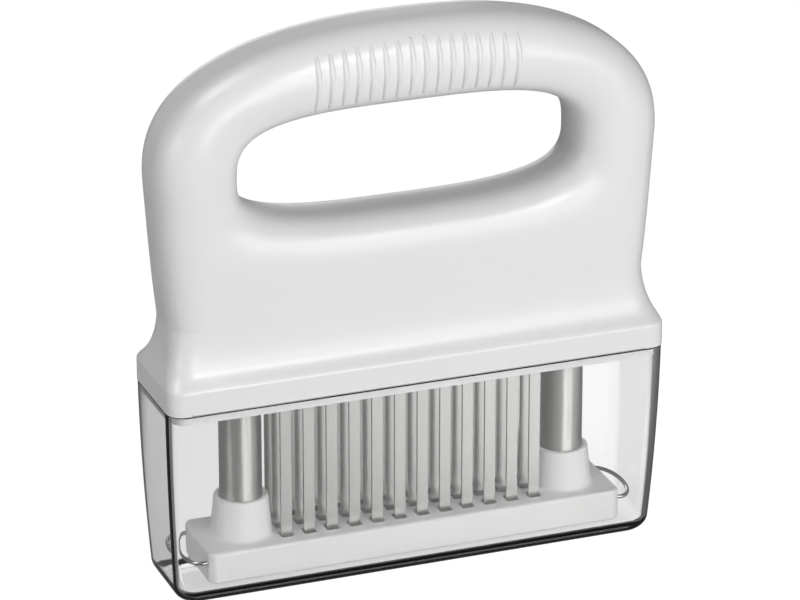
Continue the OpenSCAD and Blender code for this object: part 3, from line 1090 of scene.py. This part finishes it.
CAMERA_TARGET = Vector((-0.0005, 0.0, 0.0732))
LIGHT_TARGET = Vector((0, 0, 0.08))
LIGHT_DISTANCE = 1.3
FLOOR_REACH = 6.0
FLOOR_Z = -0.0002
# X gained for each metre of Y along the camera's line of sight over the floor
CAMERA_SLOPE = 0.385
# name, degrees to the right of the object's front, degrees up, side in metres
SOFT_LIGHTS = (
    ("front", 0, 8, 0.5),
    ("right", 28, 8, 0.5),
    ("left", -90, 62, 0.5),
    ("side", -75, 15, 0.5),
    ("bar", 14, 29, 0.2),
    ("back", 170, 6, 0.6),
)


def look_from(place, target):
    """Turn that points a camera or a light at a target."""
    return (Vector(target) - Vector(place)).to_track_quat("-Z", "Y").to_euler()


def add_camera(stage):
    """The camera at the photograph's angle."""
    flat = cos(stage.elevation)
    away = Vector((-sin(stage.azimuth) * flat, -cos(stage.azimuth) * flat, sin(stage.elevation)))
    data = bpy.data.cameras.new("camera")
    data.lens = stage.lens
    data.sensor_width = 36.0
    data.clip_start = 0.01
    camera = bpy.data.objects.new("camera", data)
    camera.location = CAMERA_TARGET + away * stage.distance
    camera.rotation_euler = look_from(camera.location, CAMERA_TARGET)
    bpy.context.scene.collection.objects.link(camera)
    bpy.context.scene.camera = camera


def add_soft_light(name, azimuth, elevation, size, power):
    """A square softbox that faces the object."""
    data = bpy.data.lights.new(name, "AREA")
    data.shape = "SQUARE"
    data.size = size
    data.energy = power
    light = bpy.data.objects.new(name, data)
    turn, height = radians(azimuth), radians(elevation)
    away = Vector((sin(turn) * cos(height), -cos(turn) * cos(height), sin(height)))
    light.location = LIGHT_TARGET + LIGHT_DISTANCE * away
    light.rotation_euler = look_from(light.location, LIGHT_TARGET)
    bpy.context.scene.collection.objects.link(light)


def seen_white(paint, through=1.0, mirrored=1.0):
    """1 on camera rays, a share of it on rays through glass and on rays off metal; 0 on the rest."""
    path = paint.node("ShaderNodeLightPath")
    camera = paint.level(path, "Is Camera Ray")
    others = (paint.level(path, "Is Glossy Ray") + paint.level(path, "Is Transmission Ray")).clamped()
    reflected = paint.level(path, "Glossy Depth").clamped()
    return camera + (1 - camera) * others * (through + reflected * (mirrored - through))


def add_floor():
    """A pale floor that keeps the object's shadow and shows white."""
    mesh = bpy.data.meshes.new("floor")
    corners = ((-1, -1), (1, -1), (1, 1), (-1, 1))
    mesh.from_pydata([(x * FLOOR_REACH, y * FLOOR_REACH, 0) for x, y in corners], [], [(0, 1, 2, 3)])
    floor = bpy.data.objects.new("floor", mesh)
    floor.location.z = FLOOR_Z
    bpy.context.scene.collection.objects.link(floor)
    material, paint = new_material("floor_white")
    parts = paint.node("ShaderNodeSeparateXYZ", {}, {"Vector": paint.place()})
    x, y = paint.level(parts, "X"), paint.level(parts, "Y")
    # painted shade: a dark band of the floor beside the white sweep shows in the glass, while the camera
    # sees the floor white
    across = x - y * CAMERA_SLOPE
    painted_shade_beside = ((abs(across) - 0.085) / 0.04).clamped()
    through = (0.93 + 1.2 * across).clamped() * (1 - painted_shade_beside * 0.88)
    # painted reflection: metal sees a dark floor behind and a sweep that grows paler to the right in
    # front
    ahead = ((-0.02 - y) / 0.03).clamped()
    sweep = 0.28 + 0.72 * ((x + 0.08) / 0.19).clamped()
    white = seen_white(paint, through, 0.08 + ahead * (sweep - 0.08))
    diffuse = paint.node("ShaderNodeBsdfDiffuse", {}, {
        "Color": paint.mix(seen_white(paint), (0.80, 0.80, 0.80), (0.16, 0.16, 0.16))})
    glow = paint.node("ShaderNodeEmission", {}, {"Color": (1.0, 1.0, 1.0), "Strength": white * 0.97})
    paint.surface(paint.node("ShaderNodeAddShader", {}, {0: diffuse.outputs[0], 1: glow.outputs[0]}))
    dress(floor, material)


def set_world(stage):
    """Even light from all round; white where the camera sees it, greyer in glass and metal."""
    world = bpy.data.worlds.new("studio")
    world.use_nodes = True
    bpy.context.scene.world = world
    paint = Paint(world.node_tree)
    up = paint.level(paint.node("ShaderNodeSeparateXYZ", {}, {"Vector": paint.place()}), "Z")
    dim = 0.4 - 0.3 * ((up - 0.25) / 0.4).clamped()
    seen = seen_white(paint, dim, dim)
    strength = seen + (1 - seen_white(paint)) * stage.ambient
    background = paint.node("ShaderNodeBackground", {}, {"Color": (1.0, 1.0, 1.0), "Strength": strength})
    paint.node("ShaderNodeOutputWorld", {}, {"Surface": background.outputs[0]})


# ---------------------------------------------------------------------------------------------
# Operators
# ---------------------------------------------------------------------------------------------

MATERIALS = {}


def finishes(scene):
    """The object's materials by the record's slots, made when the first piece needs them."""
    if not MATERIALS:
        MATERIALS.update(make_materials(scene.tenderizer_finish))
    return MATERIALS


class TENDERIZER_OT_stage(bpy.types.Operator):
    """Sets up the camera, the lights, the white floor and the world"""

    bl_idname = "tenderizer.stage"
    bl_label = "Stage"

    def execute(self, context):
        stage = context.scene.tenderizer_stage
        add_camera(stage)
        for name, azimuth, elevation, size in SOFT_LIGHTS:
            add_soft_light(f"{name}_light", azimuth, elevation, size, getattr(stage, f"{name}_power"))
        add_floor()
        set_world(stage)
        context.scene.view_settings.view_transform = "Standard"
        return {"FINISHED"}


class TENDERIZER_OT_grip(bpy.types.Operator):
    """Builds the moulded grip with its finger opening and ribs"""

    bl_idname = "tenderizer.grip"
    bl_label = "Grip"

    def execute(self, context):
        build_grip(in_millimetres(context.scene.tenderizer_grip), finishes(context.scene))
        return {"FINISHED"}


class TENDERIZER_OT_cap(bpy.types.Operator):
    """Builds the clear cap"""

    bl_idname = "tenderizer.cap"
    bl_label = "Clear Cap"

    def execute(self, context):
        build_cap(in_millimetres(context.scene.tenderizer_cap), finishes(context.scene))
        return {"FINISHED"}


class TENDERIZER_OT_guard(bpy.types.Operator):
    """Builds the guard plate and its clips"""

    bl_idname = "tenderizer.guard"
    bl_label = "Guard Plate and Clips"

    def execute(self, context):
        materials = finishes(context.scene)
        build_guard(materials)
        build_clips(materials)
        return {"FINISHED"}


class TENDERIZER_OT_plungers(bpy.types.Operator):
    """Builds the plunger tubes, their bushes and springs, and finishes the plugs and stop rings"""

    bl_idname = "tenderizer.plungers"
    bl_label = "Plungers and Springs"

    def execute(self, context):
        materials = finishes(context.scene)
        build_tubes(materials)
        build_bushes(materials)
        build_springs(materials)
        for side in SIDES:
            finish_nodes([f"foot_plug_{side}", f"stop_ring_{side}"], materials["steel_hardware"])
        return {"FINISHED"}


class TENDERIZER_OT_blades(bpy.types.Operator):
    """Finishes the blades and their pins"""

    bl_idname = "tenderizer.blades"
    bl_label = "Blades and Pins"

    def execute(self, context):
        materials = finishes(context.scene)
        finish_nodes(BLADE_NAMES, materials["blade_steel"], 0.05)
        finish_nodes(["blade_pins"], materials["steel_hardware"])
        return {"FINISHED"}


class TENDERIZER_OT_insert(bpy.types.Operator):
    """Finishes the blade carrier, the blade block and their screws"""

    bl_idname = "tenderizer.insert"
    bl_label = "Blade Carrier and Block"

    def execute(self, context):
        materials = finishes(context.scene)
        finish_nodes(["blade_carrier"], materials["white_plastic_insert"], 0.25)
        finish_nodes(["blade_block"], materials["grey_plastic"], 0.2)
        finish_nodes(["carrier_screws", "block_screws"], materials["steel_hardware"], 0.08)
        return {"FINISHED"}


STEPS = (TENDERIZER_OT_stage, TENDERIZER_OT_grip, TENDERIZER_OT_cap, TENDERIZER_OT_guard,
         TENDERIZER_OT_plungers, TENDERIZER_OT_blades, TENDERIZER_OT_insert)


class TENDERIZER_PT_panel(bpy.types.Panel):
    """Lists the steps and their settings"""

    bl_idname = "TENDERIZER_PT_panel"
    bl_label = "Blade Meat Tenderizer"
    bl_space_type = "VIEW_3D"
    bl_region_type = "UI"
    bl_category = "Tenderizer"

    def draw(self, context):
        for step in STEPS:
            self.layout.operator(step.bl_idname)
        for name, group in SETTINGS.items():
            box = self.layout.box()
            settings = getattr(context.scene, name)
            for entry in group.__annotations__:
                box.prop(settings, entry)


CLASSES = (*SETTINGS.values(), *STEPS, TENDERIZER_PT_panel)


def register():
    for entry in CLASSES:
        bpy.utils.register_class(entry)
    for name, group in SETTINGS.items():
        setattr(bpy.types.Scene, name, bpy.props.PointerProperty(type=group))


def unregister():
    for name in SETTINGS:
        delattr(bpy.types.Scene, name)
    for entry in reversed(CLASSES):
        bpy.utils.unregister_class(entry)


def main():
    """Registers the add-on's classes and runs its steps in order."""
    register()
    for step in STEPS:
        family, name = step.bl_idname.split(".")
        getattr(getattr(bpy.ops, family), name)()


if __name__ == "__main__":
    main()
